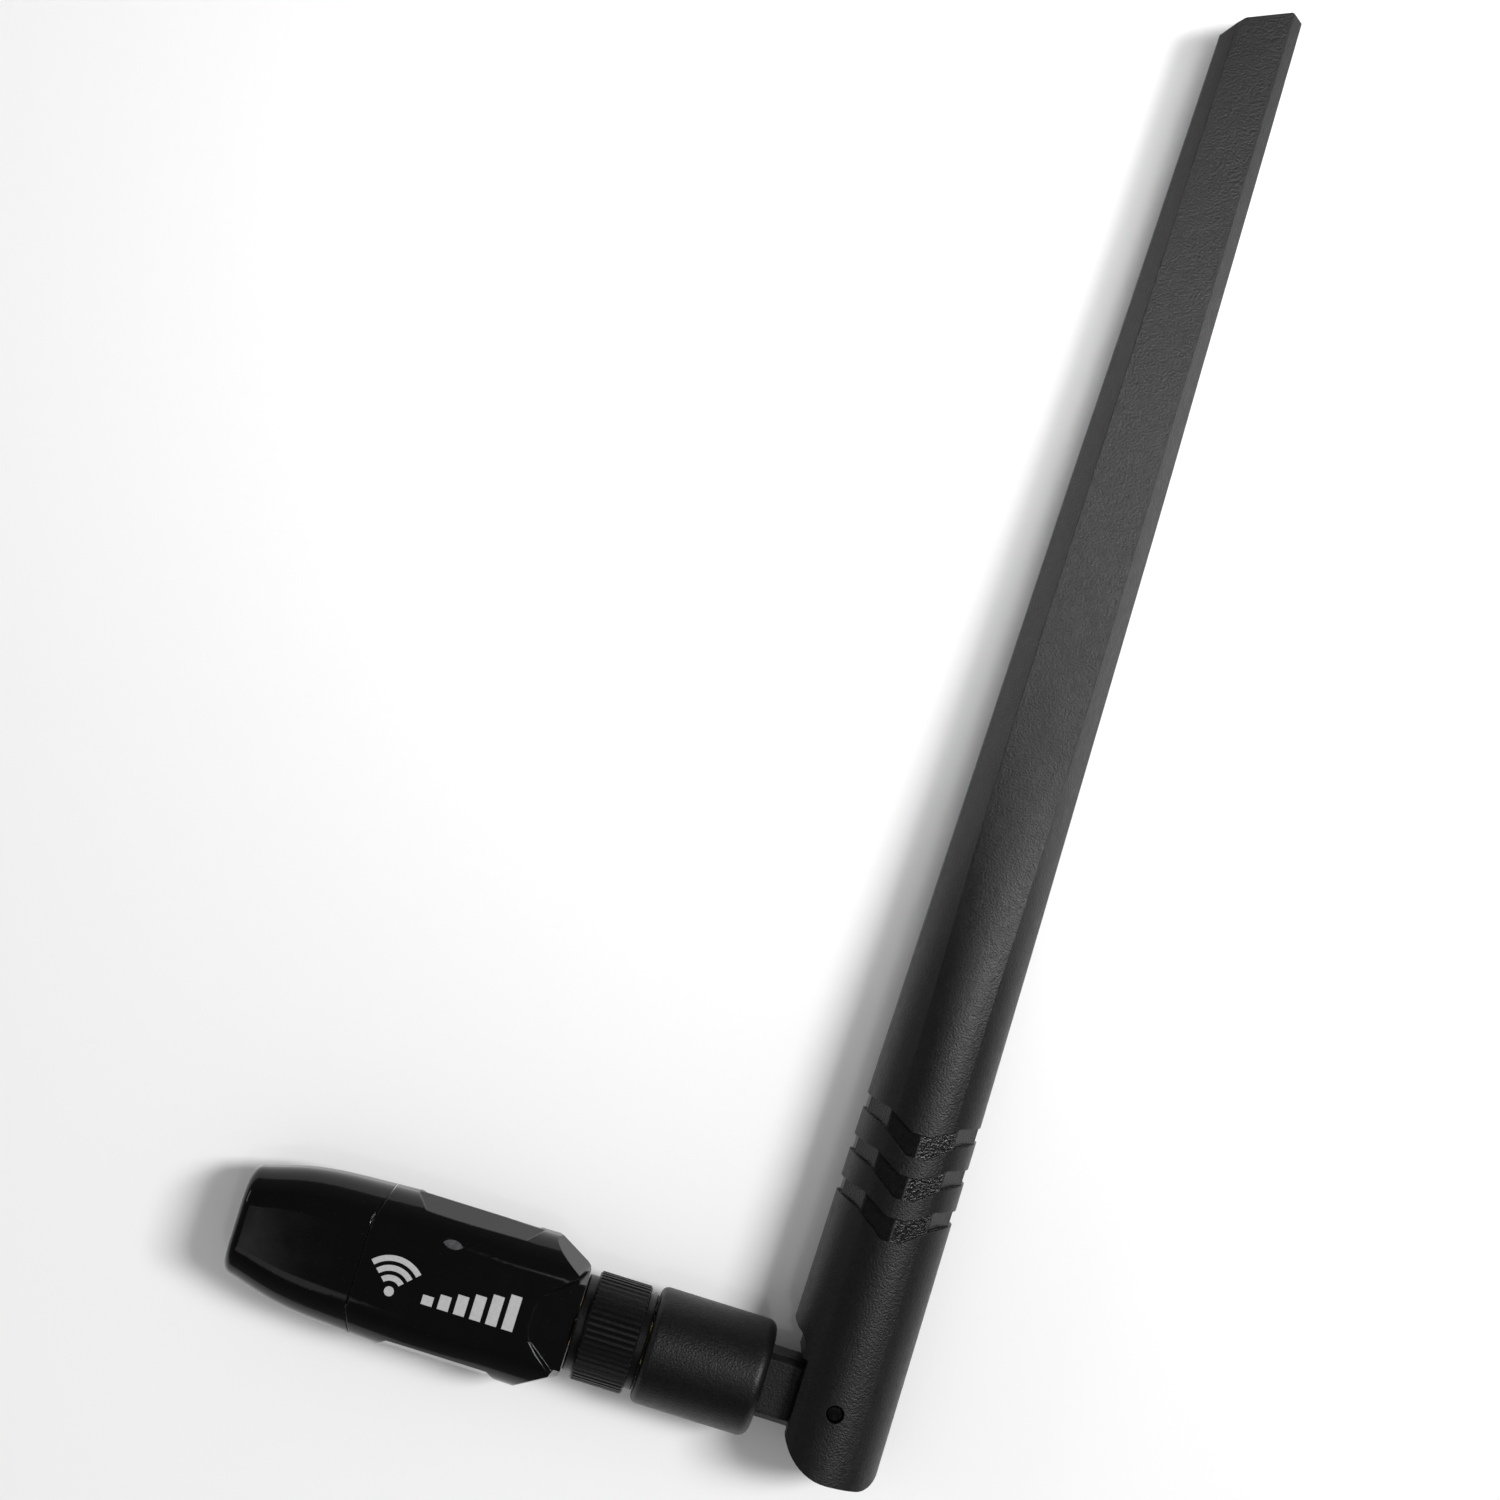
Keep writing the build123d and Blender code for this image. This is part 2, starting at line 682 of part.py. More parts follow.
with BuildPart() as jack_gasket:
    add(ring(JACK_END + 0.03, COLLAR_START, FERRULE_COLLAR - 0.05, JACK_BORE))
finish(jack_gasket, "jack_gasket")


def split_ring(x_start, x_end, outer, inner, gap_angle):
    """A ring about the X axis with a gap in it."""
    reach = outer * 2
    half_gap = math.radians(gap_angle / 2)
    corner = (reach * math.cos(half_gap), reach * math.sin(half_gap))
    with BuildPart() as piece:
        add(ring(x_start, x_end, outer, inner))
        with BuildSketch(Plane.YZ.offset(x_start - 1)):
            Polygon((0, 0), corner, (corner[0], -corner[1]), align=None)
        extrude(amount=x_end - x_start + 2, mode=Mode.SUBTRACT)
    return piece.part


with BuildPart() as snap_ring:
    add(split_ring(SNAP_GROOVE[0] + 0.03, SNAP_GROOVE[1] - 0.03, 3.06, GROOVE_RADIUS, 40))
finish(snap_ring, "snap_ring")

with BuildPart() as wave_washer:
    add(ring(BUSH_END + 0.08, BUSH_END + 0.38, 4.6, FERRULE + 0.1))
finish(wave_washer, "wave_washer")

with BuildPart() as swivel_clip:
    add(split_ring(CLIP_GROOVE[0] + 0.02, CLIP_GROOVE[1] - 0.02, 4.2, GROOVE_RADIUS, 70))
finish(swivel_clip, "swivel_clip")


# ---- swivel -----------------------------------------------------------------------------
def tongue_bar(x_start, x_end):
    """The tongue's chamfered rectangular bar along X."""
    with BuildPart() as bar:
        with BuildSketch(Plane.YZ.offset(x_start)) as section:
            Rectangle(TONGUE_HEIGHT, TONGUE_THICKNESS)
            chamfer(section.vertices(), TONGUE_CHAMFER)
        extrude(amount=x_end - x_start)
    return bar.part


window_start = SLEEVE_END - SLEEVE_END_WALL
with BuildPart() as swivel_sleeve:
    add(ring(SLEEVE_START, SLEEVE_END, SLEEVE_RADIUS))
    fillet(swivel_sleeve.edges().sort_by(Axis.X)[0], 0.9)
    fillet(swivel_sleeve.edges().filter_by(GeomType.CIRCLE).sort_by(Axis.X)[-1], 1.3)
    add(ring(SLEEVE_START - 1, window_start, SLEEVE_BORE), mode=Mode.SUBTRACT)
    add(tongue_bar(window_start - 1, SLEEVE_END + 1), mode=Mode.SUBTRACT)
finish(swivel_sleeve, "swivel_sleeve")

with BuildPart() as swivel_bush:
    add(ring(SLEEVE_START + 0.05, BUSH_END, SLEEVE_BORE, FERRULE + RUNNING_CLEARANCE))
finish(swivel_bush, "swivel_bush")

tongue_end = TONGUE_HEIGHT / 2
slot_half = COAX + 0.15
with BuildPart() as knuckle_outline:
    with BuildSketch(Plane.XY):
        with Locations((PIN_X, 0)):
            Circle(tongue_end)
        with Locations(((window_start + PIN_X) / 2 - 2, 0)):
            Rectangle(PIN_X - window_start + 4, TONGUE_HEIGHT)
    extrude(amount=TONGUE_THICKNESS, both=True)
with BuildPart() as hinge_knuckle:
    add(tongue_bar(window_start - 1, PIN_X + tongue_end + 1))
    add(knuckle_outline.part, mode=Mode.INTERSECT)
    add(ring(KNUCKLE_START, window_start, SLEEVE_BORE))
    add(ring(KNUCKLE_START - 1, PIN_X, COAX + 0.1), mode=Mode.SUBTRACT)
    add(
        block((PIN_X - slot_half, PIN_X + 6), (-slot_half, 6), (-slot_half, slot_half)),
        mode=Mode.SUBTRACT,
    )
    with BuildSketch(Plane.XY):
        with Locations((PIN_X, 0)):
            Circle(PIN_RADIUS + PIN_CLEARANCE)
    extrude(amount=TONGUE_THICKNESS, both=True, mode=Mode.SUBTRACT)
finish(hinge_knuckle, "hinge_knuckle")

with BuildPart() as coax_ball:
    with Locations((PIN_X, 0, 0)):
        Sphere(COAX)
with BuildPart() as coax_lower:
    add(ring(DIELECTRIC_END, PIN_X, COAX))
    add(coax_ball.part)
finish(coax_lower, "coax_lower")


# ---- antenna ----------------------------------------------------------------------------
def antenna_section(y, half_width, half_thickness, flat_half, side_half, roundness):
    """Closed eight-sided outline across the antenna at y, with its sides bulged."""
    side_x = half_width * (1 - 0.0152 * roundness)
    front_z = half_thickness * (1 - 0.134 * roundness)
    corners = [(side_x, side_half), (flat_half, front_z), (-flat_half, front_z)]
    corners += [(-side_x, side_half), (-side_x, -side_half), (-flat_half, -front_z)]
    corners += [(flat_half, -front_z), (side_x, -side_half)]
    plane = Plane(origin=(PIN_X, y, 0), x_dir=(1, 0, 0), z_dir=(0, 1, 0))
    with BuildSketch(plane) as section:
        with BuildLine():
            for index, start in enumerate(corners):
                end = corners[(index + 1) % len(corners)]
                chord = math.dist(start, end)
                sagitta = half_width - math.sqrt(half_width**2 - chord**2 / 4)
                bulge = max(BLADE_CROWN, roundness * sagitta)
                normal = ((end[1] - start[1]) / chord, (start[0] - end[0]) / chord)
                middle = (
                    (start[0] + end[0]) / 2 + normal[0] * bulge,
                    (start[1] + end[1]) / 2 + normal[1] * bulge,
                )
                ThreePointArc(start, middle, end)
        make_face()
    return section.sketch


def station_at(y):
    """The antenna's station values at y, on straight lines between the rows of the table."""
    row, following = ANTENNA_STATIONS[0], ANTENNA_STATIONS[1]
    for low, high in zip(ANTENNA_STATIONS, ANTENNA_STATIONS[1:]):
        if low[0] <= y:
            row, following = low, high
    share = (y - row[0]) / (following[0] - row[0])
    return [low + (high - low) * share for low, high in zip(row, following)]


def antenna_form(wall=0.0):
    """The antenna's whole form, lofted through evenly spaced sections, shrunk by the wall."""
    start, end = ANTENNA_STATIONS[0][0], ANTENNA_STATIONS[-1][0]
    sections = []
    for index in range(LOFT_SPANS + 1):
        y = start + (end - start) * index / LOFT_SPANS
        half_width, half_thickness, flat_half, side_half, roundness = station_at(y)[1:]
        sections.append(
            antenna_section(
                y,
                half_width - wall,
                half_thickness - wall,
                flat_half - wall * 0.5,
                side_half - wall * 0.2,
                roundness,
            )
        )
    with BuildPart() as form:
        loft(sections=sections)
    return form.part


def local(points):
    """Moves plan points given from the pin to the part's frame."""
    return [(PIN_X + x, y) for x, y in points]


def antenna_outline():
    """Plan outline that trims the antenna's two ends, as a prism."""
    edge = 9.0
    side = 7.72
    arc_end_y = BASE_END + BASE_ARC - math.sqrt(BASE_ARC**2 - (EAR_RECESS - BASE_ARC_X) ** 2)
    arc_middle = math.radians(225)
    arc_centre = (BASE_ARC_X, BASE_END + BASE_ARC)
    corner_centre = (side - BASE_CORNER, BASE_END + BASE_CORNER)
    diagonal = math.sqrt(0.5)
    notch = [(-side, 9.4), (-7.38, 8.38), (-6.8, 7.9), (-6.0, 7.2), (NOTCH_RECESS, 6.2)]
    with BuildPart() as prism:
        with BuildSketch(Plane.XY):
            with BuildLine():
                Polyline(
                    *local([notch[0], (-edge, 9.8), (-edge, 176.0)] + TOP_OUTLINE),
                    *local([(edge, 178.0), (edge, 3.0), (side, 2.0), (side, corner_centre[1])]),
                )
                ThreePointArc(
                    *local(
                        [
                            (side, corner_centre[1]),
                            (
                                corner_centre[0] + BASE_CORNER * diagonal,
                                corner_centre[1] - BASE_CORNER * diagonal,
                            ),
                            (corner_centre[0], BASE_END),
                        ]
                    )
                )
                Line(*local([(corner_centre[0], BASE_END), (BASE_ARC_X, BASE_END)]))
                ThreePointArc(
                    *local(
                        [
                            (BASE_ARC_X, BASE_END),
                            (
                                arc_centre[0] + BASE_ARC * math.cos(arc_middle),
                                arc_centre[1] + BASE_ARC * math.sin(arc_middle),
                            ),
                            (EAR_RECESS, arc_end_y),
                        ]
                    )
                )
                Polyline(
                    *local([(EAR_RECESS, arc_end_y), (EAR_RECESS, NOTCH_Y), (NOTCH_RECESS, NOTCH_Y)]),
                    *local([notch[4]]),
                )
                ThreePointArc(*local([notch[4], notch[3], notch[2]]))
                ThreePointArc(*local([notch[2], notch[1], notch[0]]))
            make_face()
        extrude(amount=10, both=True)
    return prism.part


def hinge_slot():
    """The slot between the ears, through which the tongue swings."""
    half = TONGUE_HEIGHT / 2 + SWING_CLEARANCE
    with BuildPart() as slot:
        with BuildSketch(Plane.XY):
            with BuildLine():
                Line(*local([(-20, half), (0, half)]))
                ThreePointArc(
                    *local([(0, half), (half * math.sqrt(0.5), half * math.sqrt(0.5)), (half, 0)])
                )
                Polyline(*local([(half, 0), (half, -20), (-20, -20), (-20, half)]))
            make_face()
        extrude(amount=TONGUE_THICKNESS / 2 + EAR_CLEARANCE, both=True)
    return slot.part


def grooves():
    """Three chevron bands round the antenna, down to the groove floor."""
    (x1, y1), (x2, y2), (x3, y3) = GROOVE_RISE
    right_low = [(x1, y1 - GROOVE_HALF), (x2, y2 - 1.2), (x3, y3 - GROOVE_SIDE_HALF)]
    right_high = [(x3, y3 + GROOVE_SIDE_HALF), (x2, y2 + 1.2), (x1, y1 + GROOVE_HALF)]
    band = right_low + right_high + [(-x, y) for x, y in reversed(right_low + right_high)]
    with BuildPart() as floor:
        with BuildSketch(Plane.XZ):
            with Locations((PIN_X, 0)):
                RegularPolygon(GROOVE_FLOOR, 10, rotation=90)
        extrude(amount=-60)
    with BuildPart() as bands:
        with BuildSketch(Plane.XY):
            for apex in GROOVE_APEXES:
                Polygon(*local([(x, y + apex) for x, y in band]), align=None)
        extrude(amount=10, both=True)
        add(floor.part, mode=Mode.SUBTRACT)
    return bands.part


def rod_along_y(y_start, y_end, outer, inner=0.0):
    """A round rod or tube on the antenna's own axis."""
    with BuildPart() as piece:
        with BuildSketch(Plane.XZ.offset(-y_start)):
            with Locations((PIN_X, 0)):
                Circle(outer)
                if inner:
                    Circle(inner, mode=Mode.SUBTRACT)
        extrude(amount=-(y_end - y_start))
    return piece.part


cavity_span = block((PIN_X - 10, PIN_X + 10), (CAVITY_START, CAVITY_END), (-10, 10))
with BuildPart() as antenna_cavity:
    add(antenna_form(ANTENNA_WALL))
    add(cavity_span, mode=Mode.INTERSECT)

with BuildPart() as antenna_case:
    add(antenna_form())
    add(antenna_outline(), mode=Mode.INTERSECT)
    add(antenna_cavity.part, mode=Mode.SUBTRACT)
    add(hinge_slot(), mode=Mode.SUBTRACT)
    add(grooves(), mode=Mode.SUBTRACT)
    add(rod_along_y(1.0, CAVITY_START + 0.5, COAX + 0.1), mode=Mode.SUBTRACT)
    with BuildSketch(Plane.XY):
        with Locations((PIN_X, 0)):
            Circle(PIN_RADIUS)
    extrude(amount=10, both=True, mode=Mode.SUBTRACT)

with BuildPart() as antenna_front_shell:
    add(antenna_case.part)
    split(bisect_by=Plane.XY, keep=Keep.TOP)
finish(antenna_front_shell, "antenna_front_shell")

with BuildPart() as antenna_back_shell:
    add(antenna_case.part)
    split(bisect_by=Plane.XY, keep=Keep.BOTTOM)
finish(antenna_back_shell, "antenna_back_shell")

pin_outer = ANTENNA_STATIONS[0][1] - PIN_RECESS
with BuildPart() as pivot_pins:
    with BuildSketch(Plane.XY.offset(PIN_INNER)):
        with Locations((PIN_X, 0)):
            Circle(PIN_RADIUS)
    extrude(amount=pin_outer - PIN_INNER)
    chamfer(pivot_pins.edges().sort_by(Axis.Z)[-1], 0.25)
    mirror(about=Plane.XY)
finish(pivot_pins, "pivot_pins")

with BuildPart() as coax_upper:
    add(rod_along_y(COAX + 0.03, ANTENNA_BOARD_START, COAX))
finish(coax_upper, "coax_upper")

with BuildPart() as choke_sleeve:
    add(rod_along_y(14.0, 28.0, 1.7, COAX))
finish(choke_sleeve, "choke_sleeve")

board_half_thickness = ANTENNA_BOARD_THICKNESS / 2
with BuildPart() as antenna_board:
    add(
        block(
            (PIN_X - ANTENNA_BOARD_HALF, PIN_X + ANTENNA_BOARD_HALF),
            (ANTENNA_BOARD_START, ANTENNA_BOARD_END),
            (-board_half_thickness, board_half_thickness),
        )
    )
    fillet(antenna_board.edges().filter_by(Axis.Z), 0.8)
finish(antenna_board, "antenna_board")

# y range of each radiating arm, and of the narrow lines between them
ARM_SPANS = [(34.0, 62.0), (64.0, 92.0), (110.0, 138.0), (140.0, 168.0)]
LINE_SPANS = [(92.0, 110.0)]
ARM_HALF = 2.2
LINE_HALF = 0.5
COPPER = 0.1
with BuildPart() as dipole_copper:
    for span in ARM_SPANS:
        arm_x = (PIN_X - ARM_HALF, PIN_X + ARM_HALF)
        add(block(arm_x, span, (board_half_thickness, board_half_thickness + COPPER)))
    for span in LINE_SPANS:
        line_x = (PIN_X - LINE_HALF, PIN_X + LINE_HALF)
        add(block(line_x, span, (board_half_thickness, board_half_thickness + COPPER)))
finish(dipole_copper, "dipole_copper")
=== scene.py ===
import json
import math

import bmesh
import bpy
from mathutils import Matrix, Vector
from mathutils.bvhtree import BVHTree


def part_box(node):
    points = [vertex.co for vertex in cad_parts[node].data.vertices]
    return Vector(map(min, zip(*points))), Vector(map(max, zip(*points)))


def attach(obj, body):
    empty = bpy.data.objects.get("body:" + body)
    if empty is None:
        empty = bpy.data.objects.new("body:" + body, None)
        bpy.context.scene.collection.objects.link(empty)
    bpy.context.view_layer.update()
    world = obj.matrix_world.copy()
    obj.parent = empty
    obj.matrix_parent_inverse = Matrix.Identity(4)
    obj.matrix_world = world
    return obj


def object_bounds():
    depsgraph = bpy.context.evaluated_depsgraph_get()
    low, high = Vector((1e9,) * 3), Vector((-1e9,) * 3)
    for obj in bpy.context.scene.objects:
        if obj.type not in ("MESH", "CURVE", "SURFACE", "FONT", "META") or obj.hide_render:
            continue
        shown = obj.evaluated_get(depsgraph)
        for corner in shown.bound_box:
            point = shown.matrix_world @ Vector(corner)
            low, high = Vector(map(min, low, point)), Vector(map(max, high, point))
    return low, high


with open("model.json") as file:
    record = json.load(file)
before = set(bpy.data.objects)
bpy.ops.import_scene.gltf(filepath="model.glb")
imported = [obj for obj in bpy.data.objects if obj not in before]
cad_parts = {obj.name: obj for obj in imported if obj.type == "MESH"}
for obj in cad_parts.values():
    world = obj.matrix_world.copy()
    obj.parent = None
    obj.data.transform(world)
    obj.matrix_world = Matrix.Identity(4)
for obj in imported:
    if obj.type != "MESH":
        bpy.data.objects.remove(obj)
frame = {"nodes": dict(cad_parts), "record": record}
cad_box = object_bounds()
nodes = frame["nodes"]
scene = bpy.context.scene

MM = 0.001


def mm(*values):
    """A point given in millimetres, in metres."""
    return Vector(values) * MM


# ---- places read from the frame ---------------------------------------------------------
floor_z = cad_box[0].z
case_top_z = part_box("top_shell")[1].z
pins_low, pins_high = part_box("pivot_pins")
antenna_axis_x = (pins_low.x + pins_high.x) / 2


# ---- camera: looks straight down, turned a little about its own axis ---------------------
SENSOR_WIDTH = 36.0
CAMERA_DISTANCE = 0.375
CAMERA_ROLL = math.radians(17.32)
VIEW_WIDTH = 0.1852  # seen at the height of the stick's axis
CAMERA_TARGET = mm(27.6, 73.7, 0)

camera_data = bpy.data.cameras.new("camera")
camera_data.sensor_width = SENSOR_WIDTH
camera_data.lens = SENSOR_WIDTH * CAMERA_DISTANCE / VIEW_WIDTH
camera = bpy.data.objects.new("camera", camera_data)
camera.location = CAMERA_TARGET + Vector((0, 0, CAMERA_DISTANCE))
camera.rotation_euler = (0, 0, CAMERA_ROLL)
scene.collection.objects.link(camera)
scene.camera = camera


# ---- light and floor --------------------------------------------------------------------
BLADE_MIDDLE = mm(62, 142, 0)
ROOM_GREY = 0.35
REFLECTED_HORIZON = 0.16
REFLECTED_OVERHEAD = 0.03
SKY_TOP = 0.7  # sine of the elevation at which the sky reaches its overhead value
FLOOR_HALF = 3.0
FLOOR_COLOR = (0.86, 0.86, 0.86)
FLOOR_ROUGHNESS = 0.7


def area_light(name, aim, toward, distance, size, power, spread=180):
    """A rectangular light that shines on the point aim from the direction toward."""
    data = bpy.data.lights.new(name, "AREA")
    data.shape = "RECTANGLE"
    data.size, data.size_y = size
    data.energy = power
    data.spread = math.radians(spread)
    light = bpy.data.objects.new(name, data)
    direction = Vector(toward).normalized()
    light.location = aim + direction * distance
    light.rotation_euler = direction.to_track_quat("Z", "Y").to_euler()
    scene.collection.objects.link(light)


def aimed_lights():
    """One strong soft key, and four dim lights that draw the streaks on the black parts."""
    area_light(
        "key_light",
        aim=CAMERA_TARGET,
        toward=(0.67, 0.24, 1.0),
        distance=1.0,
        size=(0.2, 0.36),
        power=8.5,
    )
    area_light(
        "blade_panel",
        aim=BLADE_MIDDLE,
        toward=(0.09, 0.0, 1.0),
        distance=0.35,
        size=(0.08, 0.16),
        power=0.035,
        spread=38,
    )
    area_light(
        "side_panel",
        aim=CAMERA_TARGET,
        toward=(-0.88, 0.1, 0.45),
        distance=1.0,
        size=(0.5, 0.2),
        power=0.8,
    )
    area_light(
        "front_panel",
        aim=CAMERA_TARGET,
        toward=(-0.3, -0.42, 0.86),
        distance=1.0,
        size=(0.3, 0.25),
        power=0.16,
    )
    area_light(
        "spark_light",
        aim=CAMERA_TARGET,
        toward=(0.18, -0.19, 1.0),
        distance=1.0,
        size=(0.05, 0.05),
        power=0.35,
    )


def sky_ramp(tree, low, high):
    """A sky that runs from the low value at the horizon to the high value overhead."""
    coords = tree.nodes.new("ShaderNodeTexCoord")
    split = tree.nodes.new("ShaderNodeSeparateXYZ")
    ramp = tree.nodes.new("ShaderNodeValToRGB")
    ramp.color_ramp.elements[0].position = 0.0
    ramp.color_ramp.elements[0].color = (low, low, low, 1)
    ramp.color_ramp.elements[1].position = SKY_TOP
    ramp.color_ramp.elements[1].color = (high, high, high, 1)
    tree.links.new(coords.outputs["Generated"], split.inputs[0])
    tree.links.new(split.outputs["Z"], ramp.inputs[0])
    return ramp.outputs[0]


def room():
    """An even grey room, which glossy reflections see as a darker sky."""
    world = bpy.data.worlds.new("studio")
    world.use_nodes = True
    tree = world.node_tree
    even = tree.nodes["Background"]
    reflected = tree.nodes.new("ShaderNodeBackground")
    path = tree.nodes.new("ShaderNodeLightPath")
    choose = tree.nodes.new("ShaderNodeMixShader")
    sky = sky_ramp(tree, REFLECTED_HORIZON, REFLECTED_OVERHEAD)
    even.inputs["Color"].default_value = (ROOM_GREY, ROOM_GREY, ROOM_GREY, 1)
    tree.links.new(sky, reflected.inputs["Color"])
    tree.links.new(path.outputs["Is Glossy Ray"], choose.inputs[0])
    tree.links.new(even.outputs[0], choose.inputs[1])
    tree.links.new(reflected.outputs[0], choose.inputs[2])
    tree.links.new(choose.outputs[0], tree.nodes["World Output"].inputs["Surface"])
    scene.world = world
    scene.view_settings.view_transform = "Standard"


def floor():
    """A plain pale floor under the object."""
    half = FLOOR_HALF
    corners = [(-half, -half), (half, -half), (half, half), (-half, half)]
    mesh = bpy.data.meshes.new("floor")
    mesh.from_pydata([(x, y, floor_z) for x, y in corners], [], [(0, 1, 2, 3)])
    made = bpy.data.objects.new("floor", mesh)
    scene.collection.objects.link(made)
    mesh.materials.append(material("floor_paint", FLOOR_COLOR, FLOOR_ROUGHNESS)[0])


# ---- shader helpers ---------------------------------------------------------------------
BEVEL_SAMPLES = 6


def material(name, color, roughness, metallic=0.0):
    """A principled material. Returns it with its tree and shader."""
    made = bpy.data.materials.new(name)
    made.use_nodes = True
    shader = made.node_tree.nodes["Principled BSDF"]
    shader.inputs["Base Color"].default_value = (*color, 1)
    shader.inputs["Roughness"].default_value = roughness
    shader.inputs["Metallic"].default_value = metallic
    return made, made.node_tree, shader


def noise(tree, scale, detail=2.0, rough=0.5):
    """A noise texture over the object's own coordinates, which are metres."""
    coords = tree.nodes.new("ShaderNodeTexCoord")
    texture = tree.nodes.new("ShaderNodeTexNoise")
    texture.inputs["Scale"].default_value = scale
    texture.inputs["Detail"].default_value = detail
    texture.inputs["Roughness"].default_value = rough
    tree.links.new(coords.outputs["Object"], texture.inputs["Vector"])
    return texture.outputs[0]


def remap(tree, source, low, high, from_low=0.3, from_high=0.7):
    """Spreads a value over the range low to high."""
    spread = tree.nodes.new("ShaderNodeMapRange")
    spread.inputs["From Min"].default_value = from_low
    spread.inputs["From Max"].default_value = from_high
    spread.inputs["To Min"].default_value = low
    spread.inputs["To Max"].default_value = high
    tree.links.new(source, spread.inputs["Value"])
    return spread.outputs["Result"]


def combine(tree, operation, first, second=0):
    """A math node on one or two values, each a number or an output."""
    made = tree.nodes.new("ShaderNodeMath")
    made.operation = operation
    for socket, value in zip(made.inputs, (first, second)):
        if isinstance(value, (int, float)):
            socket.default_value = value
        else:
            tree.links.new(value, socket)
    return made.outputs[0]


def vary_color(tree, shader, source, low, high):
    """Runs the base colour from low to high along a texture."""
    ramp = tree.nodes.new("ShaderNodeValToRGB")
    ramp.color_ramp.elements[0].position = 0.35
    ramp.color_ramp.elements[0].color = (*low, 1)
    ramp.color_ramp.elements[1].position = 0.65
    ramp.color_ramp.elements[1].color = (*high, 1)
    tree.links.new(source, ramp.inputs[0])
    tree.links.new(ramp.outputs[0], shader.inputs["Base Color"])


def vary_roughness(tree, shader, source, low, high):
    """Runs the roughness from low to high along a texture."""
    tree.links.new(remap(tree, source, low, high), shader.inputs["Roughness"])


def bump(tree, shader, source, strength, depth, edge_radius):
    """Adds a bump of the given depth in metres over softened edges."""
    edges = tree.nodes.new("ShaderNodeBevel")
    edges.samples = BEVEL_SAMPLES
    edges.inputs["Radius"].default_value = edge_radius
    made = tree.nodes.new("ShaderNodeBump")
    made.inputs["Strength"].default_value = strength
    made.inputs["Distance"].default_value = depth
    tree.links.new(source, made.inputs["Height"])
    tree.links.new(edges.outputs["Normal"], made.inputs["Normal"])
    tree.links.new(made.outputs["Normal"], shader.inputs["Normal"])


# ---- materials --------------------------------------------------------------------------
GROOVES_START_Y = 20 * MM
GROOVES_END_Y = 39 * MM
GROOVE_FLOOR_RADIUS = 7.12 * MM  # under this radius the mask is full
GROOVE_WALL_RADIUS = 7.22 * MM  # over this radius it is empty
GROOVE_SMOOTHER = 0.2  # how much less rough the groove floors are


def gloss_black():
    """Polished black moulding with a little dust and a faint waviness."""
    clean = (0.003, 0.003, 0.0033)
    dusty = (0.02, 0.02, 0.02)
    made, tree, shader = material("gloss_black", clean, 0.1)
    shader.inputs["IOR"].default_value = 1.38
    vary_roughness(tree, shader, noise(tree, 260, detail=4.0), 0.07, 0.14)
    specks = noise(tree, 5200, detail=1.0)
    dust = remap(tree, specks, 0.3, 0.7, from_low=0.73, from_high=0.82)
    vary_color(tree, shader, dust, clean, dusty)
    waves = noise(tree, 420)
    bump(tree, shader, waves, strength=0.12, depth=0.03 * MM, edge_radius=0.24 * MM)
    return made


def groove_mask(tree):
    """One on the floors of the antenna's grooves, zero everywhere else."""
    coords = tree.nodes.new("ShaderNodeTexCoord")
    split = tree.nodes.new("ShaderNodeSeparateXYZ")
    tree.links.new(coords.outputs["Object"], split.inputs[0])
    across = combine(tree, "SUBTRACT", split.outputs["X"], antenna_axis_x)
    across_squared = combine(tree, "MULTIPLY", across, across)
    height_squared = combine(tree, "MULTIPLY", split.outputs["Z"], split.outputs["Z"])
    radius = combine(tree, "SQRT", combine(tree, "ADD", across_squared, height_squared))
    sunk = remap(tree, radius, 1, 0, GROOVE_FLOOR_RADIUS, GROOVE_WALL_RADIUS)
    past_start = combine(tree, "GREATER_THAN", split.outputs["Y"], GROOVES_START_Y)
    before_end = combine(tree, "LESS_THAN", split.outputs["Y"], GROOVES_END_Y)
    return combine(tree, "MULTIPLY", sunk, combine(tree, "MULTIPLY", past_start, before_end))


def satin_black():
    """Fine-grained satin black, smoother on the floors of the antenna's grooves."""
    made, tree, shader = material("satin_black", (0.004, 0.004, 0.0042), 0.42)
    shader.inputs["IOR"].default_value = 1.36
    grain = noise(tree, 3800, detail=2.0, rough=0.6)
    patches = remap(tree, noise(tree, 900, detail=3.0), 0.38, 0.45)
    smoother = combine(tree, "MULTIPLY", groove_mask(tree), -GROOVE_SMOOTHER)
    tree.links.new(combine(tree, "ADD", patches, smoother), shader.inputs["Roughness"])
    vary_color(tree, shader, grain, (0.0025, 0.0025, 0.0026), (0.0055, 0.0055, 0.0057))
    bump(tree, shader, grain, strength=0.7, depth=0.09 * MM, edge_radius=0.15 * MM)
    return made


def nut_black():
    """Semi-gloss black of the coupling nut."""
    made, tree, shader = material("nut_black", (0.004, 0.004, 0.0042), 0.34)
    shader.inputs["IOR"].default_value = 1.32
    grain = noise(tree, 3000)
    vary_roughness(tree, shader, grain, 0.28, 0.42)
    bump(tree, shader, grain, strength=0.2, depth=0.02 * MM, edge_radius=0.05 * MM)
    return made


def pin_dark():
    """Dark glossy pin end."""
    made, tree, shader = material("pin_dark", (0.0015, 0.0015, 0.0015), 0.1)
    shader.inputs["IOR"].default_value = 1.25
    vary_roughness(tree, shader, noise(tree, 2500), 0.06, 0.16)
    return made


